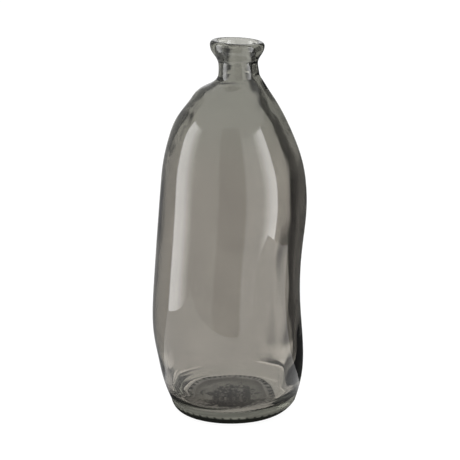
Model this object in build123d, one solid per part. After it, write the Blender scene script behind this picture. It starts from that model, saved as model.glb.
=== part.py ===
from build123d import *
import math
import os

# Bottle vase of blown recycled glass, one thick-walled piece standing on its foot.
# The origin is on the standing plane under the middle of the body, +Z up, +X to the right of the front view.

# Body, the outer form up to where the shoulder has drawn in to the neck
body_radius = 70.0
body_height = 318.0

# Neck, a straight stub set to one side of the body
neck_radius = 18.4
neck_wall = 5.2
neck_length = 13.0
neck_offset = 8.6
neck_setback = 1.4
root_round = 4.0
bore_round = 3.0

# Lip, flared and fire-polished, drawn a little to the left and its rim leaning down to the right
lip_radius = 24.9
lip_height = 18.9
lip_offset = 7.4
lip_roll = 3.8
rim_lean = 2.2
mouth_radius = 17.2
mouth_roll = 2.2
mouth_ledge = 1.1

# Glass thickness, thin on the left of the blown wall and heavier on the right, and under the middle of the floor
left_wall = 3.4
right_wall = 4.6
side_wall = 4.4
base_thickness = 16.5

# Foot, a flat bearing ring around a shallow push-up, rounded into the wall by a share of body_height
foot_round_share = 0.0516
push_up_radius = 36.5
push_up_height = 3.4

# Floor of the cavity: rounded into the wall, crowned, and rising in degrees to the back and to the right, where more
# glass settled, with a clearance up to the first section of the wall
floor_round = 15.0
floor_clearance = 10.5
floor_crown = 1.6
floor_rise_back = 5.0
floor_rise_right = 1.8

# How far cutting tools run past the glass, how many points carry each closed section, and the turn in degrees that
# keeps the seam of the round neck clear of the body's seam
overrun = 2.0
section_points = 12
seam_turn = 90

# Stations up the body, in shares of the sizes above: level of body_height, middle to the right and middle to the
# back of body_radius, half width from neck_radius (0) to body_radius (1), depth of width, and how much the wall
# thickens at the shoulder and at the heel
body_shares = (
    (0.000, -0.060, -0.004, 0.660, 1.000, 1.00),
    (0.038, 0.055, -0.002, 0.787, 1.000, 1.90),
    (0.094, 0.042, 0.003, 0.899, 0.990, 1.60),
    (0.157, 0.023, 0.009, 0.965, 0.980, 1.25),
    (0.236, -0.016, 0.014, 1.000, 0.975, 1.00),
    (0.314, -0.034, 0.014, 0.988, 0.975, 1.00),
    (0.409, -0.026, 0.006, 0.965, 0.975, 1.00),
    (0.503, 0.004, -0.011, 0.963, 0.975, 1.00),
    (0.597, 0.043, -0.026, 0.969, 0.975, 1.00),
    (0.676, 0.056, -0.029, 0.948, 0.975, 1.00),
    (0.755, 0.047, -0.023, 0.882, 0.975, 1.00),
    (0.824, 0.030, -0.011, 0.754, 0.980, 1.10),
    (0.887, 0.027, 0.003, 0.576, 0.985, 1.25),
    (0.934, 0.047, 0.013, 0.380, 0.990, 1.40),
    (0.967, 0.077, 0.019, 0.205, 1.000, 1.60),
    (0.978, 0.112, 0.020, 0.112, 1.000, 1.80),
)
# Half widths at which the two lofts close inside the neck and inside its bore, in shares of those radii
shoulder_close_share = 0.86
cavity_close_share = 0.80
# Stations up the lip: level of lip_height, radius from neck_radius (0) to lip_radius (1), lean of rim_lean, and
# middle from neck_offset (0) to lip_offset (1)
lip_shares = (
    (0.00, 0.00, 0.00, 0.00),
    (0.13, 0.12, 0.15, 0.50),
    (0.29, 0.40, 0.35, 0.85),
    (0.45, 0.70, 0.55, 1.00),
    (0.62, 0.92, 0.75, 0.95),
    (0.80, 1.00, 0.90, 0.80),
    (1.00, 0.97, 1.00, 0.80),
)

# Sizes that follow
neck_x, neck_y = neck_offset, neck_setback
bore_radius = neck_radius - neck_wall
foot_round = foot_round_share * body_height
flare_level = body_height + neck_length
rim_level = flare_level + lip_height


def section(x, y, level, half_width, half_depth, tilt=(0, 0, 0)):
    """One closed oval section of the form, level or tilted by angles in degrees."""
    turns = [2 * math.pi * point / section_points for point in range(section_points)]
    oval = Spline([(half_width * math.cos(t), half_depth * math.sin(t)) for t in turns], periodic=True)
    return Plane(Location((x, y, level), tilt)) * make_face(oval)


def body_station(shares):
    """Place and half sizes of one station of the body."""
    level, right, back, width, depth, thickening = shares
    half_width = neck_radius + width * (body_radius - neck_radius)
    return (
        right * body_radius,
        back * body_radius,
        level * body_height,
        half_width,
        half_width * depth,
        thickening,
    )


def station_at(level):
    """The body's place and half sizes at any level, between the two nearest stations."""
    stations = [body_station(s) for s in body_shares]
    below = max(s for s in range(len(stations) - 1) if stations[s][2] <= level)
    low, high = stations[below], stations[below + 1]
    part_way = (level - low[2]) / (high[2] - low[2])
    return tuple(a + part_way * (b - a) for a, b in zip(low, high))


def make_body():
    """The blown body, lofted from the standing plane up through its stations to close inside the neck."""
    sections = [section(*body_station(shares)[:5]) for shares in body_shares]
    close_radius = shoulder_close_share * neck_radius
    sections.append(section(neck_x, neck_y, body_height, close_radius, close_radius))
    body = loft(sections)
    return fillet(body.edges().group_by(Axis.Z)[0], foot_round)


def make_stub(radius):
    """An upright round bar on the neck's axis, from inside the body up to where the lip begins."""
    bottom = body_height - neck_length
    bar = Cylinder(radius, flare_level - bottom, align=(Align.CENTER, Align.CENTER, Align.MIN))
    return Pos(neck_x, neck_y, bottom) * Rotation(0, 0, seam_turn) * bar


def make_lip():
    """The flared lip, lofted through circles that lean more and more, with its outer edge rolled over."""
    circles = []
    for level, width, lean, drift in lip_shares:
        x = neck_x + drift * (lip_offset - neck_x)
        centre = Location((x, neck_y, flare_level + level * lip_height), (0, lean * rim_lean, 0))
        circles.append(Plane(centre) * Circle(neck_radius + width * (lip_radius - neck_radius)))
    lip = loft(circles)
    return fillet(lip.edges().group_by(Axis.Z)[-1], lip_roll)


def make_outside():
    """The whole outer form, with a rounded root where the neck grows out of the shoulder."""
    body, neck = make_body(), make_stub(neck_radius)
    outside = body + neck
    return fillet(new_edges(body, neck, combined=outside), root_round) + make_lip()


def make_cavity():
    """The hollow of the body, from its rounded and crowned floor up to close inside the bore."""
    tilt = (floor_rise_back, -floor_rise_right, 0)
    floor = station_at(base_thickness)
    stations = [body_station(shares) for shares in body_shares]
    above_floor = [station for station in stations if station[2] > base_thickness + floor_clearance]
    sections = []
    for x, y, level, half_width, half_depth, thickening in [floor] + above_floor:
        sections.append(
            section(
                x + thickening * (left_wall - right_wall) / 2,
                y,
                level,
                half_width - thickening * (left_wall + right_wall) / 2,
                half_depth - thickening * side_wall,
                (0, 0, 0) if sections else tilt,
            )
        )
    close_radius = cavity_close_share * bore_radius
    sections.append(section(neck_x, neck_y, body_height, close_radius, close_radius))
    cavity = loft(sections)
    cavity = fillet(cavity.edges().group_by(Axis.Z)[0], floor_round)
    crown_sphere = (push_up_radius**2 + floor_crown**2) / (2 * floor_crown)
    crown = Pos(0, 0, floor_crown - crown_sphere) * Sphere(crown_sphere)
    return cavity - Location((floor[0], floor[1], base_thickness), tilt) * crown


def make_mouth():
    """The funnel that opens from a small ledge over the bore to the rim."""
    top = rim_level + overrun
    start = bore_radius + mouth_ledge
    wall = TangentArc((start, flare_level), (mouth_radius, top), tangent=(0, 1))
    outline = Polyline((mouth_radius, top), (0, top), (0, flare_level), (start, flare_level))
    middle_x = (neck_x + lip_offset) / 2
    return Pos(middle_x, neck_y, 0) * revolve(Plane.XZ * make_face(wall + outline), Axis.Z)


def make_push_up(foot):
    """The shallow dome pressed up into the middle of the foot, which leaves the bearing ring around it."""
    sphere = (push_up_radius**2 + push_up_height**2) / (2 * push_up_height)
    middle = foot.center()
    return Pos(middle.X, middle.Y, push_up_height - sphere) * Sphere(sphere)


def make_glass_body():
    """The whole vase: outer form less its hollow and push-up, with the bore's foot and the rim rounded."""
    outside = make_outside()
    cavity, bore = make_cavity(), make_stub(bore_radius)
    hollow = cavity + bore
    hollow = fillet(new_edges(cavity, bore, combined=hollow), bore_round)
    push_up = make_push_up(outside.faces().sort_by(Axis.Z)[0])
    glass = outside - hollow - make_mouth() - push_up
    rim = glass.faces().filter_by(GeomType.PLANE).sort_by(Axis.Z)[-1]
    return fillet(rim.inner_wires()[0].edges(), mouth_roll)


os.makedirs("parts", exist_ok=True)
glass_body = make_glass_body()
glass_body.label = "glass_body"
export_step(glass_body, "parts/glass_body.step")
print("glass_body", len(glass_body.solids()), "solid,", round(glass_body.volume / 1000), "cm3")
print(glass_body.bounding_box())
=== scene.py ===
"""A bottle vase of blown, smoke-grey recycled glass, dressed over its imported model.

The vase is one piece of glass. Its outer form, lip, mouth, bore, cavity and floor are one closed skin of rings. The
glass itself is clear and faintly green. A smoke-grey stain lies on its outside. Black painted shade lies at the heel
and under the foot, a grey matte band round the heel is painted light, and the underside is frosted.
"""
import logging
import math
from dataclasses import dataclass, field
from enum import Enum

import bmesh
import bpy
from mathutils import Matrix, Vector, noise


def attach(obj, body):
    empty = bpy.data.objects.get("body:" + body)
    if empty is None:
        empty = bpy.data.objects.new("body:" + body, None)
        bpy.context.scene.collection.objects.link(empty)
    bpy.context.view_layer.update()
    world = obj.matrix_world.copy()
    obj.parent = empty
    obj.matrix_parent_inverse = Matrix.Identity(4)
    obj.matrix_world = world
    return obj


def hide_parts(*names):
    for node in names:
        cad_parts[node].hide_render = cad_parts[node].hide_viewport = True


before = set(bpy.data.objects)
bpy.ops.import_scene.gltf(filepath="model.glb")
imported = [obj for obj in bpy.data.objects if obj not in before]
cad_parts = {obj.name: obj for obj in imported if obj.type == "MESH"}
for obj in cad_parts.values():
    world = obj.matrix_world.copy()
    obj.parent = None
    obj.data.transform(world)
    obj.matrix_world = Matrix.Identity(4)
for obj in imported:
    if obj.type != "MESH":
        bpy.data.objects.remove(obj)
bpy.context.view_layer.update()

log = logging.getLogger("bottle_vase")

MM = 0.001
STAIN_SLACK = 0.01


class Skin(Enum):
    """The parts of the glass's surface, by how much smoke stain each carries."""

    FOOT = 0.8
    OUTSIDE = 1.0
    INSIDE = 0.0

    def carries(self, stain: float) -> bool:
        """Whether a point with this much stain lies on this part."""
        return abs(stain - self.value) < STAIN_SLACK


@dataclass(frozen=True)
class Ring:
    """One closed ring of the skin, in metres, with its lean to the right and its rise to the back in degrees."""

    level: float
    right: float
    back: float
    half_width: float
    half_depth: float
    lean: float = 0.0
    rise: float = 0.0

    def matrix(self) -> Matrix:
        """The place, slope and size of this ring.

        Returns:
            The transform that takes the unit circle to it.
        """
        place = Matrix.Translation((self.right, self.back, self.level))
        turn = Matrix.Rotation(math.radians(self.rise), 4, "X") @ Matrix.Rotation(math.radians(self.lean), 4, "Y")
        size = Matrix.Diagonal((self.half_width, self.half_depth, 1.0, 1.0))
        return place @ turn @ size


class SmoothTable:
    """Rows of values joined by a natural cubic through all of them."""

    def __init__(self, keys: list[float], rows: list[tuple[float, ...]]) -> None:
        """Solve the bend of each column at each key.

        Args:
            keys: rising places of the rows.
            rows: one tuple of values for each key.
        """
        self.keys = keys
        self.rows = rows
        self.bends = [self._bend([row[column] for row in rows]) for column in range(len(rows[0]))]

    def _bend(self, values: list[float]) -> list[float]:
        """The second derivatives of one column, none at its two ends.

        Args:
            values: the column's values.

        Returns:
            One second derivative for each key.
        """
        count = len(values)
        steps = [b - a for a, b in zip(self.keys[:-1], self.keys[1:])]
        upper, right = [0.0] * count, [0.0] * count
        for i in range(1, count - 1):
            rise = (values[i + 1] - values[i]) / steps[i] - (values[i] - values[i - 1]) / steps[i - 1]
            pivot = 2 * (steps[i - 1] + steps[i]) - steps[i - 1] * upper[i - 1]
            upper[i] = steps[i] / pivot
            right[i] = (6 * rise - steps[i - 1] * right[i - 1]) / pivot
        bends = [0.0] * count
        for i in range(count - 2, 0, -1):
            bends[i] = right[i] - upper[i] * bends[i + 1]
        return bends

    def at(self, key: float) -> tuple[float, ...]:
        """The values at a place between the first and the last key.

        Args:
            key: the place.

        Returns:
            One value for each column.
        """
        i = max(n for n in range(len(self.keys) - 1) if n == 0 or self.keys[n] <= key)
        step = self.keys[i + 1] - self.keys[i]
        high = (key - self.keys[i]) / step
        low = 1 - high
        return tuple(
            low * a + high * b + ((low**3 - low) * bends[i] + (high**3 - high) * bends[i + 1]) * step * step / 6
            for a, b, bends in zip(self.rows[i], self.rows[i + 1], self.bends)
        )


def shares_up(count: int) -> list[float]:
    """Evenly spaced shares above 0 and up to 1."""
    return [step / count for step in range(1, count + 1)]


def clamped(value: float) -> float:
    """The value, kept between 0 and 1."""
    return min(1.0, max(0.0, value))


@dataclass
class VaseForm:
    """The sizes of the vase, in metres and degrees, and the rings that its skin runs through."""

    body_radius: float = 70.0 * MM
    body_height: float = 318.0 * MM
    neck_radius: float = 18.4 * MM
    neck_back: float = 1.4 * MM
    left_wall: float = 3.4 * MM
    right_wall: float = 4.6 * MM
    side_wall: float = 4.4 * MM
    # How much thicker the wall grows, as shares of it, and how far up or down that reaches
    heel_thickening: float = 1.1
    heel_thickening_right: float = 1.7
    heel_reach: float = 36.0 * MM
    heel_reach_right: float = 46.0 * MM
    shoulder_thickening: float = 0.4
    shoulder_start: float = 235.0 * MM
    shoulder_reach: float = 60.0 * MM
    base_thickness: float = 16.5 * MM
    floor_crown: float = 1.6 * MM
    floor_rise_back: float = 5.0
    floor_rise_right: float = 1.8
    floor_radius: float = 42.0 * MM
    floor_right: float = 0.0 * MM
    floor_corner: float = 14.0 * MM
    foot_radius: float = 43.1 * MM
    foot_right: float = 1.44 * MM
    heel_height: float = 11.8 * MM
    # How far the heel's curve is drawn along the ground and down the wall before it turns
    heel_pull_ground: float = 8.5 * MM
    heel_pull_wall: float = 5.3 * MM
    push_up_radius: float = 36.5 * MM
    push_up_height: float = 3.4 * MM
    # Spacing of the rings: plain, fine, and in counts where a curve turns fast
    ring_step: float = 3.0 * MM
    fine_step: float = 1.2 * MM
    bearing_rings: int = 4
    heel_turn_rings: int = 18
    corner_rings: int = 14
    # Share of body_height above which the rings are fine
    fine_start_share: float = 0.9672
    # Level of body_height, middle to the right and back of body_radius, half width from neck_radius (0) to
    # body_radius (1), depth of width
    body_shares: tuple[tuple[float, ...], ...] = (
        (0.0371, 0.0567, -0.002, 0.780, 1.000),
        (0.0943, 0.0417, 0.003, 0.900, 0.990),
        (0.1572, 0.0229, 0.009, 0.965, 0.982),
        (0.2358, -0.0157, 0.012, 0.999, 0.964),
        (0.3145, -0.0343, 0.010, 0.988, 0.972),
        (0.4088, -0.0257, 0.004, 0.965, 0.986),
        (0.5031, 0.0043, -0.008, 0.963, 0.985),
        (0.5975, 0.0429, -0.020, 0.969, 0.978),
        (0.6761, 0.0557, -0.024, 0.948, 0.975),
        (0.7547, 0.0471, -0.020, 0.882, 0.975),
        (0.8239, 0.0300, -0.011, 0.754, 0.980),
        (0.8868, 0.0271, 0.003, 0.576, 0.985),
        (0.9340, 0.0471, 0.013, 0.380, 0.990),
        (0.9672, 0.0773, 0.019, 0.205, 1.000),
        (0.9780, 0.1144, 0.020, 0.114, 1.000),
        (1.0000, 0.1274, 0.020, 0.009, 1.000),
    )
    # Neck and lip, over the rim and down the mouth to the bore: level above body_height, middle to the right and
    # radius in millimetres, lean in degrees
    neck_stations: tuple[tuple[float, ...], ...] = (
        (0.0, 8.92, 18.84, 0.0),
        (2.5, 8.8, 18.6, 0.0),
        (8.0, 8.4, 18.1, 0.0),
        (12.0, 8.0, 18.2, 0.5),
        (15.2, 7.7, 19.3, 0.8),
        (17.8, 7.5, 20.9, 1.0),
        (20.6, 7.3, 22.8, 1.4),
        (23.4, 7.2, 24.2, 1.8),
        (26.6, 7.3, 24.9, 2.4),
        (29.2, 7.4, 24.7, 2.7),
        (30.7, 7.5, 23.7, 2.8),
        (31.45, 7.5, 22.2, 2.8),
        (31.5, 7.5, 20.4, 2.8),
        (30.8, 7.6, 18.8, 2.6),
        (29.0, 7.8, 17.6, 2.0),
        (25.0, 8.0, 16.6, 1.2),
        (20.5, 8.2, 15.8, 0.8),
        (16.5, 8.4, 15.1, 0.4),
        (14.4, 8.5, 14.5, 0.0),
        (13.2, 8.6, 13.7, 0.0),
        (11.5, 8.6, 13.2, 0.0),
        (6.0, 8.6, 13.2, 0.0),
        (0.5, 8.6, 13.3, 0.0),
    )
    # Inner shoulder under the bore: level above body_height, middle to the right and half width, in millimetres
    shoulder_stations: tuple[tuple[float, ...], ...] = (
        (0.5, 8.6, 13.3),
        (-1.4, 8.5, 13.7),
        (-3.2, 8.4, 15.0),
        (-6.0, 8.0, 17.4),
        (-10.4, 6.3, 21.6),
    )

    def step_at(self, level: float) -> float:
        """Spacing of the rings at a level."""
        return self.fine_step if level > self.fine_start_share * self.body_height else self.ring_step

    def outer_table(self) -> SmoothTable:
        """The body's outer form.

        Returns:
            Right, back, half width and half depth by level.
        """
        keys, rows = [], []
        for level, right, back, width, depth in self.body_shares:
            half_width = self.neck_radius + width * (self.body_radius - self.neck_radius)
            keys.append(level * self.body_height)
            rows.append((right * self.body_radius, back * self.body_radius, half_width, half_width * depth))
        return SmoothTable(keys, rows)

    def push_up_rings(self) -> list[Ring]:
        """The underside from near its middle over the push-up to the outer edge of the bearing ring.

        Returns:
            The rings in order.
        """
        rings = []
        for share in shares_up(round(self.push_up_radius / self.fine_step)):
            radius = share * self.push_up_radius
            level = self.push_up_height * (1 - share * share)
            rings.append(Ring(level, self.foot_right, 0.0, radius, radius))
        for share in shares_up(self.bearing_rings):
            radius = self.push_up_radius + share * (self.foot_radius - self.push_up_radius)
            rings.append(Ring(0.0, self.foot_right, 0.0, radius, radius))
        return rings

    def heel_rings(self, table: SmoothTable) -> list[Ring]:
        """The round of the foot, from flat on the ground to the slope of the wall.

        Args:
            table: the outer form.

        Returns:
            The rings in order.
        """
        top_right, top_back, top_radius, _ = table.at(self.heel_height)
        above = table.at(self.heel_height + self.fine_step)
        slope = (above[2] - top_radius) / self.fine_step
        length = math.hypot(slope, 1.0)
        points = [
            (self.foot_radius, 0.0),
            (self.foot_radius + self.heel_pull_ground, 0.0),
            (top_radius - self.heel_pull_wall * slope / length, self.heel_height - self.heel_pull_wall / length),
            (top_radius, self.heel_height),
        ]
        rings = []
        for t in shares_up(self.heel_turn_rings):
            weights = ((1 - t) ** 3, 3 * t * (1 - t) ** 2, 3 * t * t * (1 - t), t**3)
            radius = sum(w * p[0] for w, p in zip(weights, points))
            level = sum(w * p[1] for w, p in zip(weights, points))
            rise = level / self.heel_height
            right = self.foot_right + rise * (top_right - self.foot_right)
            rings.append(Ring(level, right, rise * top_back, radius, radius))
        return rings

    def body_rings(self, table: SmoothTable) -> list[Ring]:
        """The outside of the body, finer where the shoulder turns into the neck.

        Args:
            table: the outer form.

        Returns:
            The rings in order.
        """
        rings, level = [], self.heel_height
        while level < self.body_height - self.fine_step:
            level = min(level + self.step_at(level), self.body_height)
            right, back, half_width, half_depth = table.at(level)
            rings.append(Ring(level, right, back, half_width, half_depth))
        return rings

    def neck_rings(self) -> list[Ring]:
        """The neck, the lip, its rim, the funnel of the mouth and the bore, down to the bore's foot.

        Returns:
            The rings in order.
        """
        keys = [0.0]
        for a, b in zip(self.neck_stations[:-1], self.neck_stations[1:]):
            keys.append(keys[-1] + math.hypot(b[0] - a[0], b[2] - a[2]))
        table = SmoothTable(keys, list(self.neck_stations))
        rings = []
        for share in shares_up(round(keys[-1] * MM / self.fine_step)):
            level, right, radius, lean = table.at(share * keys[-1])
            rings.append(
                Ring(self.body_height + level * MM, right * MM, self.neck_back, radius * MM, radius * MM, lean)
            )
        return rings

    def inner_wall(self, table: SmoothTable, level: float) -> tuple[float, float, float, float]:
        """The cavity's section at a level, inside the wall measured square to the glass.

        Args:
            table: the outer form.
            level: height above the standing plane.

        Returns:
            Right, back, half width and half depth of the cavity.
        """
        step = self.fine_step
        low, here, high = table.at(level - step), table.at(level), table.at(level + step)
        plain = 1 + self.shoulder_thickening * clamped((level - self.shoulder_start) / self.shoulder_reach)
        thick = plain + self.heel_thickening * math.exp(-((level / self.heel_reach) ** 2))
        thick_right = plain + self.heel_thickening_right * math.exp(-((level / self.heel_reach_right) ** 2))
        sides = (
            (lambda row: row[0] - row[2], self.left_wall * thick),
            (lambda row: row[0] + row[2], -self.right_wall * thick_right),
            (lambda row: row[1] - row[3], self.side_wall * thick),
            (lambda row: row[1] + row[3], -self.side_wall * thick),
        )
        left, right, front, back = (
            edge(here) + wall * math.hypot(1.0, (edge(high) - edge(low)) / (2 * step)) for edge, wall in sides
        )
        return (left + right) / 2, (front + back) / 2, (right - left) / 2, (back - front) / 2

    def inner_table(self, table: SmoothTable) -> SmoothTable:
        """The cavity's form from the top of the floor's corner to the foot of the bore.

        Args:
            table: the outer form.

        Returns:
            Right, back, half width and half depth by level.
        """
        corner_level = self.base_thickness + self.floor_corner
        keys = [corner_level]
        for share in self.body_shares:
            level = share[0] * self.body_height
            if corner_level < level < self.fine_start_share * self.body_height:
                keys.append(level)
        rows = [self.inner_wall(table, level) for level in keys]
        for level, right, half_width in reversed(self.shoulder_stations):
            keys.append(self.body_height + level * MM)
            rows.append((right * MM, self.neck_back, half_width * MM, half_width * MM))
        return SmoothTable(keys, rows)

    def cavity_rings(self, table: SmoothTable) -> list[Ring]:
        """The inside of the shoulder and of the body's wall, down to where the floor's corner starts.

        Args:
            table: the outer form.

        Returns:
            The rings in order.
        """
        inner = self.inner_table(table)
        bottom, level = inner.keys[0], inner.keys[-1]
        rings = []
        while level > bottom + self.fine_step:
            level = max(level - self.step_at(level), bottom)
            right, back, half_width, half_depth = inner.at(level)
            rings.append(Ring(level, right, back, half_width, half_depth))
        return rings

    def floor_rings(self, wall: Ring) -> list[Ring]:
        """The rounded corner of the floor and the floor's crown, down to near its middle.

        Args:
            wall: the cavity's last ring above the corner.

        Returns:
            The rings in order.
        """
        rings = []
        for share in shares_up(self.corner_rings):
            turn = share * math.pi / 2
            out, up, down = math.cos(turn), 1 - math.sin(turn), math.sin(turn)
            rings.append(
                Ring(
                    self.base_thickness + self.floor_corner * up,
                    self.floor_right + (wall.right - self.floor_right) * out,
                    wall.back * out,
                    self.floor_radius + (wall.half_width - self.floor_radius) * out,
                    self.floor_radius + (wall.half_depth - self.floor_radius) * out,
                    -self.floor_rise_right * down,
                    self.floor_rise_back * down,
                )
            )
        for share in reversed(shares_up(round(self.floor_radius / self.fine_step))[:-1]):
            radius = share * self.floor_radius
            level = self.base_thickness + self.floor_crown * (1 - share * share) ** 2
            rings.append(
                Ring(level, self.floor_right, 0.0, radius, radius, -self.floor_rise_right, self.floor_rise_back)
            )
        return rings


@dataclass
class GlassVase:
    """The vase's single piece of glass, built as one closed skin."""

    form: VaseForm = field(default_factory=VaseForm)
    segments: int = 192
    # Soft ripples of the blown wall, calmer near the foot and on the neck
    outer_ripple: float = 0.10 * MM
    inner_ripple: float = 0.55 * MM
    ripple_size: float = 30.0 * MM
    ripple_stretch: float = 2.4
    ripple_detail: float = 0.4
    ripple_detail_scale: float = 2.3
    calm_level: float = 90.0 * MM
    calm_share: float = 0.35
    neck_margin: float = 20.0 * MM
    neck_share: float = 0.25
    # Fine wrinkles inside the shoulder
    wrinkle: float = 0.22 * MM
    wrinkle_size: float = 7.0 * MM
    wrinkle_level: float = 280.0 * MM
    wrinkle_reach: float = 32.0 * MM
    # Relief of the underside
    knurl_height: float = 0.35 * MM
    stipple_height: float = 0.30 * MM
    stipple_size: float = 2.4 * MM
    stipple_reach: float = 0.8
    stipple_fade: int = 4
    # Painted shade, black: dashes on the knurl, a blotched patch under the foot, and a band round the heel with ticks
    # over it
    knurls: int = 48
    knurl_width: float = 4.5 * MM
    patch_width: float = 33.0 * MM
    patch_depth: float = 22.0 * MM
    patch_right: float = 4.0 * MM
    patch_back: float = -12.0 * MM
    patch_cover: float = 2.9
    patch_fade: float = 2.5
    patch_grain: float = 1.7
    blotch: float = 0.8
    blotch_size: float = 9.0 * MM
    painted_shade_top: float = 8.6 * MM
    painted_shade_edge: float = 0.8 * MM
    tick_height: float = 1.6 * MM
    # Painted light: a grey matte band round the heel in place of the light seen through the glass there, densest in
    # front
    painted_light_top: float = 15.6 * MM
    painted_light_least: float = 0.2
    painted_light_most: float = 0.62

    def build(self, finish: bpy.types.Material) -> bpy.types.Object:
        """Make the piece.

        Args:
            finish: the glass.

        Returns:
            The finished object, its place in its mesh.
        """
        bm = bmesh.new()
        self._skin(bm)
        self._mark_finishes(bm)
        self._ripple(bm)
        mesh = bpy.data.meshes.new("glass_vase")
        bm.to_mesh(mesh)
        bm.free()
        mesh.materials.append(finish)
        mesh.shade_smooth()
        piece = bpy.data.objects.new("glass_vase", mesh)
        bpy.context.scene.collection.objects.link(piece)
        return piece

    def _bands(self) -> list[tuple[Skin, list[Ring]]]:
        """The rings of the skin, from under the foot over the rim to the floor inside.

        Returns:
            Each part of the surface with its rings in order.
        """
        form = self.form
        table = form.outer_table()
        neck = form.neck_rings()
        top = max(range(len(neck)), key=lambda n: neck[n].level)
        cavity = form.cavity_rings(table)
        return [
            (Skin.FOOT, form.push_up_rings()),
            (Skin.OUTSIDE, form.heel_rings(table) + form.body_rings(table) + neck[: top + 1]),
            (Skin.INSIDE, neck[top + 1 :] + cavity + form.floor_rings(cavity[-1])),
        ]

    def _skin(self, bm: bmesh.types.BMesh) -> None:
        """Extrude one circle from ring to ring and close both of its ends.

        Args:
            bm: the empty mesh, which gets the skin and its "stain" layer.
        """
        stain = bm.verts.layers.float.new("stain")
        bands = self._bands()
        before = bands[0][1][0].matrix()
        start = bmesh.ops.create_circle(bm, cap_ends=True, cap_tris=True, segments=self.segments, radius=1.0)
        bmesh.ops.transform(bm, matrix=before, verts=start["verts"])
        for vert in start["verts"]:
            vert[stain] = Skin.FOOT.value
        edges = [edge for edge in bm.edges if edge.is_boundary]
        for skin, rings in bands:
            for ring in rings[1:] if skin is Skin.FOOT else rings:
                out = bmesh.ops.extrude_edge_only(bm, edges=edges)["geom"]
                verts = [item for item in out if isinstance(item, bmesh.types.BMVert)]
                edges = [item for item in out if isinstance(item, bmesh.types.BMEdge) and item.is_boundary]
                after = ring.matrix()
                bmesh.ops.transform(bm, matrix=after @ before.inverted(), verts=verts)
                before = after
                for vert in verts:
                    vert[stain] = skin.value
        cap = bmesh.ops.contextual_create(bm, geom=edges)["faces"]
        for vert in bmesh.ops.poke(bm, faces=cap)["verts"]:
            vert[stain] = Skin.INSIDE.value
        bmesh.ops.recalc_face_normals(bm, faces=bm.faces)

    def _mark_finishes(self, bm: bmesh.types.BMesh) -> None:
        """Mark how dark with painted shade, how frosted and how much painted light each point is, for the finish to
        read.

        Args:
            bm: the skin, which gets the layers painted_shade, frost and painted_heel_light.
        """
        stain = bm.verts.layers.float["stain"]
        painted_shade = bm.verts.layers.float.new("painted_shade")
        frost = bm.verts.layers.float.new("frost")
        painted_heel_light = bm.verts.layers.float.new("painted_heel_light")
        for vert in bm.verts:
            turn, radius = self._polar(vert.co)
            ridge = math.cos(turn * self.knurls)
            if Skin.OUTSIDE.carries(vert[stain]) and vert.co.z < self.painted_light_top:
                # Painted light over the heel, strongest in front
                vert[painted_heel_light] = self.painted_light_least + (self.painted_light_most - self.painted_light_least) * max(0.0, -math.sin(turn))
                # Painted shade: a black band round the heel, up to a ticked edge
                top = self.painted_shade_top + self.tick_height * max(0.0, ridge) ** 2
                vert[painted_shade] = clamped((top - vert.co.z) / self.painted_shade_edge)
            elif Skin.FOOT.carries(vert[stain]):
                vert[frost] = 1.0
                # Painted shade under the foot: dashes on the knurl, or the blotched patch inside it
                on_knurl = radius > self.form.foot_radius - self.knurl_width
                vert[painted_shade] = float(ridge > 0) if on_knurl else self._patch_shade(vert.co)

    def _polar(self, place: Vector) -> tuple[float, float]:
        """Where a point lies round the middle of the foot.

        Args:
            place: the point.

        Returns:
            Its turn in radians, from the right towards the back, and its distance from the foot's axis.
        """
        across = place.x - self.form.foot_right
        return math.atan2(place.y, across), math.hypot(across, place.y)

    def _patch_shade(self, place: Vector) -> float:
        """How dark the painted shade of the blotched patch under the foot is at a point.

        Args:
            place: the point.

        Returns:
            A share from 0, bare, to 1, black.
        """
        grain = noise.noise(place / self.stipple_size) + self.blotch * noise.noise(place / self.blotch_size)
        right = (place.x - self.patch_right) / self.patch_width
        back = (place.y - self.patch_back) / self.patch_depth
        return clamped(self.patch_cover - self.patch_fade * math.hypot(right, back) + self.patch_grain * grain)

    def _ripple(self, bm: bmesh.types.BMesh) -> None:
        """Move the skin along its normals, and keep it above the ground.

        Args:
            bm: the skin.
        """
        bm.normal_update()
        stain = bm.verts.layers.float["stain"]
        moves = [(vert, vert.normal * self._relief(vert.co, vert[stain])) for vert in bm.verts]
        for vert, move in moves:
            vert.co += move
            vert.co.z = max(0.0, vert.co.z)

    def _relief(self, place: Vector, stain: float) -> float:
        """The ripples, and inside the shoulder the wrinkles, and under the foot the knurl or stipple.

        Args:
            place: a point of the smooth skin.
            stain: how much smoke stain it carries.

        Returns:
            How far the point moves out of the glass.
        """
        inside = Skin.INSIDE.carries(stain)
        depth = self.inner_ripple if inside else self.outer_ripple
        if place.z > self.form.body_height - self.neck_margin:
            depth *= self.neck_share
        if place.z < self.calm_level:
            depth *= self.calm_share + (1 - self.calm_share) * place.z / self.calm_level
        stretched = Vector((place.x, place.y, place.z / self.ripple_stretch)) / self.ripple_size
        detail = self.ripple_detail * noise.noise(stretched * self.ripple_detail_scale)
        relief = depth * (noise.noise(stretched) + detail)
        drop = (place.z - self.wrinkle_level) / self.wrinkle_reach
        if inside and abs(drop) < 1:
            relief += self.wrinkle * (1 - drop * drop) * noise.noise(place / self.wrinkle_size)
        if Skin.FOOT.carries(stain):
            relief += self._foot_relief(place)
        return relief

    def _foot_relief(self, place: Vector) -> float:
        """The knurl or stipple at a point of the underside.

        Args:
            place: the point.

        Returns:
            How far the point moves out of the glass.
        """
        turn, radius = self._polar(place)
        if radius > self.form.push_up_radius:
            ridge = math.cos(turn * self.segments / 2)
            return -self.knurl_height * (1 + ridge) / 2
        fade = max(0.0, 1.0 - (radius / (self.stipple_reach * self.form.push_up_radius)) ** self.stipple_fade)
        return self.stipple_height * fade * noise.noise(place / self.stipple_size)


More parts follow.
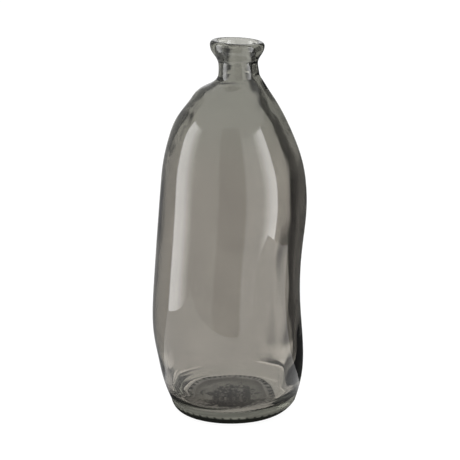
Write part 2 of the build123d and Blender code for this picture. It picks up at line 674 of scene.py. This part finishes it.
class Socket:
    """A shader value whose sums and products add the Math nodes that work them out."""

    def __init__(self, shop: "NodeShop", socket: bpy.types.NodeSocket) -> None:
        """Wrap an output socket of the shop's tree."""
        self.shop = shop
        self.socket = socket

    def _maths(self, operation: str, first: "Value", second: "Value" = 0.0) -> "Socket":
        """One Math node."""
        return self.shop.add("ShaderNodeMath", {"operation": operation}, {0: first, 1: second})

    def __add__(self, other: "Value") -> "Socket":
        """Sum."""
        return self._maths("ADD", self, other)

    __radd__ = __add__

    def __sub__(self, other: "Value") -> "Socket":
        """Difference."""
        return self._maths("SUBTRACT", self, other)

    def __rsub__(self, other: "Value") -> "Socket":
        """Difference from a number."""
        return self._maths("SUBTRACT", other, self)

    def __mul__(self, other: "Value") -> "Socket":
        """Product."""
        return self._maths("MULTIPLY", self, other)

    __rmul__ = __mul__

    def __rpow__(self, base: float) -> "Socket":
        """A number to the power of the value."""
        return self._maths("POWER", base, self)

    def __gt__(self, other: "Value") -> "Socket":
        """1 where greater, otherwise 0."""
        return self._maths("GREATER_THAN", self, other)

    def __lt__(self, other: "Value") -> "Socket":
        """1 where less, otherwise 0."""
        return self._maths("LESS_THAN", self, other)

    def least(self, other: "Value") -> "Socket":
        """The smaller of the two."""
        return self._maths("MINIMUM", self, other)

    def most(self, other: "Value") -> "Socket":
        """The larger of the two."""
        return self._maths("MAXIMUM", self, other)

    def size(self) -> "Socket":
        """The value without its sign."""
        return self._maths("ABSOLUTE", self)

    def towards(self, other: "Value", share: "Value") -> "Socket":
        """The value moved by a share of the way to another."""
        return self + share * (other - self)

    def ramp(self, low: float, high: float) -> "Socket":
        """A smooth step up, or down where low is the larger.

        Args:
            low: where the step is 0.
            high: where the step is 1.

        Returns:
            The step's height at the value.
        """
        return self.shop.add(
            "ShaderNodeMapRange",
            {"interpolation_type": "SMOOTHSTEP"},
            {"Value": self, "From Min": low, "From Max": high, "To Min": 0.0, "To Max": 1.0},
        )

    def band(self, ends: tuple[float, float], soft: float) -> "Socket":
        """1 between the two ends, fading to 0 over soft outside them."""
        return self.ramp(ends[0] - soft, ends[0]) * self.ramp(ends[1] + soft, ends[1])


Value = Socket | float


class NodeShop:
    """Adds the nodes of one shader tree."""

    def __init__(self, tree: bpy.types.NodeTree) -> None:
        """Empty the tree and keep it."""
        self.tree = tree
        tree.nodes.clear()

    def add(
        self, kind: str, settings: dict | None = None, sockets: dict | None = None, out: int | str = 0
    ) -> Socket | None:
        """Add any node.

        Args:
            kind: the node's type.
            settings: its settings, which are set first.
            sockets: values or links of its inputs, by name or number.
            out: which of its outputs is wanted.

        Returns:
            That output, or None where the node has none.
        """
        node = self.tree.nodes.new(kind)
        for name, value in (settings or {}).items():
            if name == "stops":
                self._set_stops(node.color_ramp.elements, value)
            else:
                setattr(node, name, value)
        for name, value in (sockets or {}).items():
            if isinstance(value, Socket):
                self.tree.links.new(value.socket, node.inputs[name])
            else:
                node.inputs[name].default_value = value
        return Socket(self, node.outputs[out]) if node.outputs else None

    def _set_stops(self, elements: bpy.types.ColorRampElements, stops: list[tuple[float, float]]) -> None:
        """Give a ramp its stops.

        Args:
            elements: the ramp's stops, as many as a new ramp has.
            stops: pairs of place and grey level, in order.
        """
        for _ in range(len(stops) - len(elements)):
            elements.new(0.5)
        for element, (place, level) in zip(elements, stops):
            element.position = place
            element.color = (level, level, level, 1.0)

    def output(self, node: Socket, name: str) -> Socket:
        """Another output of the node behind a socket."""
        return Socket(self, node.socket.node.outputs[name])

    def layer(self, name: str) -> Socket:
        """A value that the mesh carries at its points."""
        return self.add("ShaderNodeAttribute", {"attribute_name": name}, out="Fac")

    def mixed_colour(self, share: Socket, first: "Colour", second: "Colour") -> Socket:
        """The first colour blended to the second by a share."""
        return self.add("ShaderNodeMix", {"data_type": "RGBA"}, {0: share, 6: first, 7: second}, out=2)

    def mixed_shader(self, share: Value, first: Socket, second: Socket) -> Socket:
        """The first shader blended to the second by a share."""
        return self.add("ShaderNodeMixShader", {}, {0: share, 1: first, 2: second})


Colour = Socket | tuple[float, float, float, float]


@dataclass(frozen=True)
class MatteFinish:
    """A plain, opaque surface that lies over the glass in places: the frosting, and the painted light and painted
    shade.
    """

    colour: tuple[float, float, float]
    roughness: float
    gloss: float

    def build(self, shop: NodeShop) -> Socket:
        """The shader.

        Args:
            shop: where the node is added.

        Returns:
            The shader's output.
        """
        return shop.add(
            "ShaderNodeBsdfPrincipled",
            {},
            {"Base Color": (*self.colour, 1.0), "Roughness": self.roughness, "Specular IOR Level": self.gloss},
        )


@dataclass(frozen=True)
class GlassFinish:
    """Glass with a smoke stain on its outer surface and a faint green of its own inside.

    The mesh says where the stain lies, where black painted shade and grey painted light lie over it, and where the
    surface is frosted.
    """

    name: str = "smoke_glass"
    stain: tuple[float, float, float] = (0.255, 0.234, 0.206)
    green_stain: tuple[float, float, float] = (0.232, 0.228, 0.198)
    # Levels in metres between which the stain turns greener
    green_start: float = 0.20
    green_end: float = 0.31
    streak: float = 0.06
    streak_scale: float = 22.0
    streak_detail: float = 2.0
    streak_low: float = 0.3
    streak_high: float = 0.7
    clear: tuple[float, float, float] = (0.99, 0.99, 0.98)
    roughness: float = 0.0
    foot_roughness: float = 0.06
    ior: float = 1.5
    body_colour: tuple[float, float, float] = (0.62, 0.93, 0.72)
    body_density: float = 2.5
    # Painted light: the grey matte of the band round the heel
    painted_light_finish: MatteFinish = MatteFinish((0.185, 0.185, 0.155), 0.6, 0.2)
    frosted: MatteFinish = MatteFinish((0.80, 0.77, 0.68), 0.9, 0.0)
    # Painted shade: the black of the heel band, the knurl dashes and the patch under the foot
    painted_shade_finish: MatteFinish = MatteFinish((0.010, 0.011, 0.008), 0.5, 0.1)
    frosting: float = 0.6
    # The underside's own finishes show where it is met steeply, and fade out as it is grazed, by Layer Weight's count
    grazing_start: float = 0.45
    grazing_end: float = 0.7

    def build(self) -> bpy.types.Material:
        """Make the material.

        Returns:
            The material, with its surface and its body of glass.
        """
        material = bpy.data.materials.new(self.name)
        material.use_nodes = True
        shop = NodeShop(material.node_tree)
        foot = shop.layer("frost")
        facing = shop.add("ShaderNodeLayerWeight", {}, {"Blend": 0.5}, out="Facing")
        steep = foot * facing.ramp(self.grazing_end, self.grazing_start)
        outside = 1 - shop.add("ShaderNodeNewGeometry", out="Backfacing")
        painted_shade_share = shop.layer("painted_shade") * (steep + (1 - foot) * outside)
        # Grey painted light over the heel, on its outside
        surface = shop.mixed_shader(shop.layer("painted_heel_light") * outside, self._glass(shop, foot), self.painted_light_finish.build(shop))
        surface = shop.mixed_shader(steep * self.frosting, surface, self.frosted.build(shop))
        # Black painted shade, where the mesh marks it
        surface = shop.mixed_shader(painted_shade_share, surface, self.painted_shade_finish.build(shop))
        body = shop.add(
            "ShaderNodeVolumeAbsorption", {}, {"Color": (*self.body_colour, 1.0), "Density": self.body_density}
        )
        shop.add("ShaderNodeOutputMaterial", {}, {"Surface": surface, "Volume": body})
        return material

    def _glass(self, shop: NodeShop, foot: Socket) -> Socket:
        """Clear glass under its stain, a little rough under the foot.

        Args:
            shop: where the nodes are added.
            foot: 1 under the foot, otherwise 0.

        Returns:
            The shader.
        """
        return shop.add(
            "ShaderNodeBsdfPrincipled",
            {},
            {
                "Base Color": shop.mixed_colour(shop.layer("stain"), (*self.clear, 1.0), self._stain_colour(shop)),
                "Roughness": foot * (self.foot_roughness - self.roughness) + self.roughness,
                "IOR": self.ior,
                "Transmission Weight": 1.0,
            },
        )

    def _stain_colour(self, shop: NodeShop) -> Socket:
        """The smoke stain, faintly streaked and greener towards the top.

        Args:
            shop: where the nodes are added.

        Returns:
            The colour.
        """
        place = shop.add("ShaderNodeTexCoord", out="Object")
        grain = shop.add(
            "ShaderNodeTexNoise", {}, {"Vector": place, "Scale": self.streak_scale, "Detail": self.streak_detail}
        )
        pale = (*(min(1.0, c * (1 + self.streak)) for c in self.stain), 1.0)
        deep = (*(c * (1 - self.streak) for c in self.stain), 1.0)
        streaked = shop.mixed_colour(grain.ramp(self.streak_low, self.streak_high), deep, pale)
        height = shop.add("ShaderNodeSeparateXYZ", {}, {0: place}, out="Z")
        return shop.mixed_colour(height.ramp(self.green_start, self.green_end), streaked, (*self.green_stain, 1.0))


@dataclass(frozen=True)
class LightRing:
    """The levels of light around the vase, as stops of bearing and level.

    A bearing is in degrees from the front, where the camera stands, and counts up to the right. A level of 1 is white.
    """

    stops: tuple[tuple[float, float], ...]
    full: float = 10.0

    def build(self, shop: NodeShop, bearing: Socket) -> Socket:
        """The level at a bearing, straight between the stops.

        Args:
            shop: where the nodes are added.
            bearing: degrees from the front, from -180 to 180.

        Returns:
            The level.
        """
        stops = [(place / 360 + 0.5, level / self.full) for place, level in self.stops]
        return shop.add("ShaderNodeValToRGB", {"stops": stops}, {0: bearing * (1 / 360) + 0.5}) * self.full


class RayPast:
    """What a ray of light met before it came here."""

    def __init__(self, shop: NodeShop, mirror_keep: float) -> None:
        """Add the nodes that tell it.

        Args:
            shop: where the nodes are added.
            mirror_keep: the share of light that each mirroring after the first keeps.
        """
        self.camera = shop.add("ShaderNodeLightPath", out="Is Camera Ray")
        self.diffuse = shop.output(self.camera, "Is Diffuse Ray")
        mirrorings = shop.output(self.camera, "Glossy Depth")
        self.mirrored = mirrorings > 0.5
        self.bent = shop.output(self.camera, "Transmission Depth") > 0.5
        self.kept = mirror_keep ** (mirrorings - 1).most(0.0)


@dataclass
class Studio:
    """The white table, the surroundings that the glass mirrors and bends, and the camera.

    Bearings and heights of the surroundings are in degrees, from the front and from the horizon. A level of 1 is white.
    """

    mirrored: LightRing = LightRing(
        (
            (-180, 1.0),
            (-168, 1.0),
            (-163, 0.35),
            (-101, 0.25),
            (-98, 5.5),
            (-83, 5.5),
            (-64, 0.6),
            (-24, 0.6),
            (-20, 0.1),
            (18, 0.1),
            (22, 1.2),
            (45, 1.2),
            (60, 5.5),
            (70, 6.5),
            (72, 0.1),
            (163, 0.05),
            (168, 1.0),
            (180, 1.0),
        )
    )
    bent_below: LightRing = LightRing(
        (
            (-180, 1.0),
            (-168, 1.0),
            (-163, 0.45),
            (-148, 0.45),
            (-144, 1.0),
            (-124, 1.0),
            (-120, 0.1),
            (-105, 0.1),
            (-101, 0.8),
            (-70, 0.8),
            (-60, 0.1),
            (-30, 0.1),
            (-20, 0.8),
            (20, 0.8),
            (30, 0.05),
            (60, 0.05),
            (70, 0.8),
            (101, 0.8),
            (105, 0.03),
            (120, 0.03),
            (124, 1.0),
            (144, 1.0),
            (148, 0.02),
            (171, 0.02),
            (174, 1.0),
            (180, 1.0),
        )
    )
    bent_above: LightRing = LightRing(
        (
            (-180, 1.0),
            (-174, 1.0),
            (-170, 0.03),
            (-135, 0.05),
            (-125, 0.9),
            (-60, 0.9),
            (-50, 0.05),
            (-30, 0.05),
            (-20, 0.8),
            (20, 0.8),
            (30, 0.05),
            (50, 0.05),
            (60, 0.9),
            (125, 0.9),
            (135, 0.02),
            (169, 0.02),
            (173, 1.0),
            (180, 1.0),
        )
    )
    # What the outer surface mirrors from overhead, with a dark gap in the ceiling in front
    ceiling_level: float = 0.7
    ceiling_start: float = 37.0
    ceiling_soft: float = 2.0
    gap_half: float = 20.0
    gap_rise: float = 12.0
    # What the glass mirrors inside itself: no more than a most, and no less than a glow
    inside_most: float = 2.0
    glow_below: float = 0.1
    glow_above: float = 0.12
    glow_right: float = 0.8
    glow_right_below: float = 0.35
    glow_right_bearings: tuple[float, float] = (60.0, 165.0)
    glow_soft: float = 5.0
    horizon_soft: float = 3.0
    # What the glass bends: where the upper ring takes over, and the dark overhead
    upper_start: float = -12.0
    overhead_level: float = 0.05
    overhead_start: float = 26.0
    # Dark flags low behind the vase, and the bright spill of the table between them
    low_flag_level: float = 0.05
    flag_soft: float = 3.0
    left_flag_bearings: tuple[float, float] = (-167.0, -130.0)
    left_flag_start: float = -19.0
    left_flag_soft: float = 2.0
    right_flag_bearings: tuple[float, float] = (100.0, 163.0)
    right_flag_start: float = -17.5
    right_flag_soft: float = 4.0
    spill_level: float = 1.7
    spill_bearings: tuple[float, float] = (168.0, 175.0)
    spill_heights: tuple[float, float] = (-32.0, -23.5)
    spill_soft: float = 2.5
    # Far below the horizon all turns white, and sooner by so many degrees where the glass also mirrored the ray
    steep_start: float = -33.0
    steep_soft: float = 8.0
    steep_glossy: float = 11.0
    # Share of light that each mirroring after the first keeps
    mirror_keep: float = 0.6
    # The white table that the glass mirrors, in metres from the vase
    table_left: float = -0.47
    table_right: float = 0.475
    table_front: float = -0.34
    table_back: float = 0.05
    # The light under the foot, and the dim ring that the outside mirrors around it
    foot_level: float = 0.9
    contact_level: float = 0.02
    contact_start: float = 0.044
    contact_end: float = 0.048
    shadow_start: float = 0.060
    shadow_end: float = 0.130
    # The floor that the camera sees: white with a share of matte that takes the soft shadow
    floor_reach: float = 6.0
    floor_white: float = 1.12
    floor_matte: float = 0.9
    floor_matte_share: float = 0.15
    camera_place: tuple[float, float, float] = (0.00075, -1.75, 0.61154)
    camera_pitch: float = 14.06
    lens: float = 152.46
    sensor: float = 36.0
    bend_bounces: int = 32
    mirror_bounces: int = 16

    def build(self) -> None:
        """Make the surroundings, the floor and the camera."""
        self._world()
        self._floor()
        self._camera()
        cycles = bpy.context.scene.cycles
        cycles.max_bounces = self.bend_bounces
        cycles.transmission_bounces = self.bend_bounces
        cycles.glossy_bounces = self.mirror_bounces
        bpy.context.scene.view_settings.view_transform = "Standard"

    def _world(self) -> None:
        """White to the camera and to matte surfaces; the levels around the vase to what the glass mirrors or bends."""
        world = bpy.data.worlds.new("studio")
        bpy.context.scene.world = world
        world.use_nodes = True
        shop = NodeShop(world.node_tree)
        direction = shop.add("ShaderNodeTexCoord", out="Generated")
        x = shop.add("ShaderNodeSeparateXYZ", {}, {0: direction})
        y, z = shop.output(x, "Y"), shop.output(x, "Z")
        degree = 180 / math.pi
        bearing = shop.add("ShaderNodeMath", {"operation": "ARCTAN2"}, {0: x, 1: -1 * y}) * degree
        height = shop.add("ShaderNodeMath", {"operation": "ARCSINE"}, {0: z}) * degree
        ray = RayPast(shop, self.mirror_keep)
        mirrored = self._mirrored_level(shop, bearing, height)
        glow = ray.bent * self._glow_level(bearing, height)
        inner = mirrored.towards(mirrored.least(self.inside_most).most(glow), ray.bent)
        seen = self._bent_level(shop, bearing, height).towards(inner, ray.mirrored)
        depth = height - ray.mirrored * self.steep_glossy
        steep = ray.bent * depth.ramp(self.steep_start, self.steep_start - self.steep_soft)
        seen = seen.towards(1.0, steep) * ray.kept
        glass = ray.mirrored.most(ray.bent) * (1 - ray.diffuse)
        strength = 1 + glass * (seen - 1)
        light = shop.add("ShaderNodeBackground", {}, {"Color": (1.0, 1.0, 1.0, 1.0), "Strength": strength})
        shop.add("ShaderNodeOutputWorld", {}, {"Surface": light})

    def _mirrored_level(self, shop: NodeShop, bearing: Socket, height: Socket) -> Socket:
        """The light that the outer surface mirrors: softboxes around it under a pale ceiling.

        Args:
            shop: where the nodes are added.
            bearing: degrees from the front.
            height: degrees above the horizon.

        Returns:
            The level.
        """
        soft = self.ceiling_soft
        gap = bearing.size().ramp(self.gap_half + soft, self.gap_half - soft)
        ceiling = (height - gap * self.gap_rise).ramp(self.ceiling_start - soft, self.ceiling_start + soft)
        return self.mirrored.build(shop, bearing).towards(self.ceiling_level, ceiling)

    def _glow_level(self, bearing: Socket, height: Socket) -> Socket:
        """The least light that the glass mirrors inside itself, brighter to the right.

        Args:
            bearing: degrees from the front.
            height: degrees above the horizon.

        Returns:
            The level.
        """
        above = height.ramp(-self.horizon_soft, self.horizon_soft)
        glow = self.glow_below + above * (self.glow_above - self.glow_below)
        right_glow = self.glow_right_below + above * (self.glow_right - self.glow_right_below)
        return glow.towards(right_glow, bearing.band(self.glow_right_bearings, self.glow_soft))

    def _bent_level(self, shop: NodeShop, bearing: Socket, height: Socket) -> Socket:
        """The light that comes bent through the glass: two rings of it, dark flags and the table's spill.

        Args:
            shop: where the nodes are added.
            bearing: degrees from the front.
            height: degrees above the horizon.

        Returns:
            The level.
        """
        soft = self.horizon_soft
        upper = height.ramp(self.upper_start, self.upper_start + soft)
        overhead = height.ramp(self.overhead_start - soft, self.overhead_start + soft)
        level = self.bent_below.build(shop, bearing).towards(self.bent_above.build(shop, bearing), upper)
        level = level.towards(self.overhead_level, overhead)
        left = bearing.band(self.left_flag_bearings, self.flag_soft)
        left = left * height.ramp(self.left_flag_start, self.left_flag_start - self.left_flag_soft)
        right = bearing.band(self.right_flag_bearings, self.flag_soft)
        right = right * height.ramp(self.right_flag_start, self.right_flag_start - self.right_flag_soft)
        level = level.towards(self.low_flag_level, left + right)
        spill = bearing.size().band(self.spill_bearings, self.spill_soft)
        return level.towards(self.spill_level, spill * height.band(self.spill_heights, self.spill_soft))

    def _floor(self) -> None:
        """A wide pale floor, of which the glass mirrors only the white table."""
        bm = bmesh.new()
        bmesh.ops.create_grid(bm, x_segments=1, y_segments=1, size=self.floor_reach)
        mesh = bpy.data.meshes.new("floor")
        bm.to_mesh(mesh)
        bm.free()
        mesh.materials.append(self._floor_finish())
        floor = bpy.data.objects.new("floor", mesh)
        bpy.context.scene.collection.objects.link(floor)

    def _floor_finish(self) -> bpy.types.Material:
        """White with a soft shadow to the camera; to the glass, the table's white and the light under the foot.

        Returns:
            The material, which the glass doesn't see beyond the table and the foot.
        """
        material = bpy.data.materials.new("pale_floor")
        material.use_nodes = True
        shop = NodeShop(material.node_tree)
        place = shop.add("ShaderNodeTexCoord", out="Object")
        x = shop.add("ShaderNodeSeparateXYZ", {}, {0: place})
        y = shop.output(x, "Y")
        table = (x > self.table_left) * (x < self.table_right) * (y > self.table_front) * (y < self.table_back)
        reach = shop.add("ShaderNodeVectorMath", {"operation": "LENGTH"}, {0: place}, out="Value")
        ray = RayPast(shop, self.mirror_keep)
        outside = ray.mirrored * (1 - ray.bent)
        contact = reach.ramp(self.contact_end, self.contact_start)
        under = contact.towards(reach.ramp(self.shadow_end, self.shadow_start), outside)
        unseen = ray.mirrored.most(ray.bent) * (1 - under.most(ray.mirrored * table))
        dimming = 1 - self.foot_level + outside * (self.foot_level - self.contact_level)
        white = (1.0, 1.0, 1.0, 1.0)
        to_glass = shop.add("ShaderNodeEmission", {}, {"Color": white, "Strength": (1 - under * dimming) * ray.kept})
        plain = shop.add("ShaderNodeEmission", {}, {"Color": white, "Strength": self.floor_white})
        matte = shop.add("ShaderNodeBsdfDiffuse", {}, {"Color": (*(self.floor_matte,) * 3, 1.0)})
        to_camera = shop.mixed_shader(self.floor_matte_share, plain, matte)
        seen = shop.mixed_shader(ray.camera, to_glass, to_camera)
        surface = shop.mixed_shader(unseen, seen, shop.add("ShaderNodeBsdfTransparent"))
        shop.add("ShaderNodeOutputMaterial", {}, {"Surface": surface})
        return material

    def _camera(self) -> None:
        """The camera at the photograph's height, pitch and reach."""
        data = bpy.data.cameras.new("camera")
        data.lens = self.lens
        data.sensor_width = self.sensor
        camera = bpy.data.objects.new("camera", data)
        camera.location = self.camera_place
        camera.rotation_euler = (math.radians(90.0 - self.camera_pitch), 0.0, 0.0)
        bpy.context.scene.collection.objects.link(camera)
        bpy.context.scene.camera = camera


def main() -> None:
    """Build the studio and the vase."""
    Studio().build()
    log.info("studio ready")
    vase = GlassVase().build(GlassFinish().build())
    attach(vase, "root")
    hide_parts("glass_body")
    log.info("glass_vase: %d faces", len(vase.data.polygons))


if __name__ == "__main__":
    logging.basicConfig(level=logging.INFO)
    main()
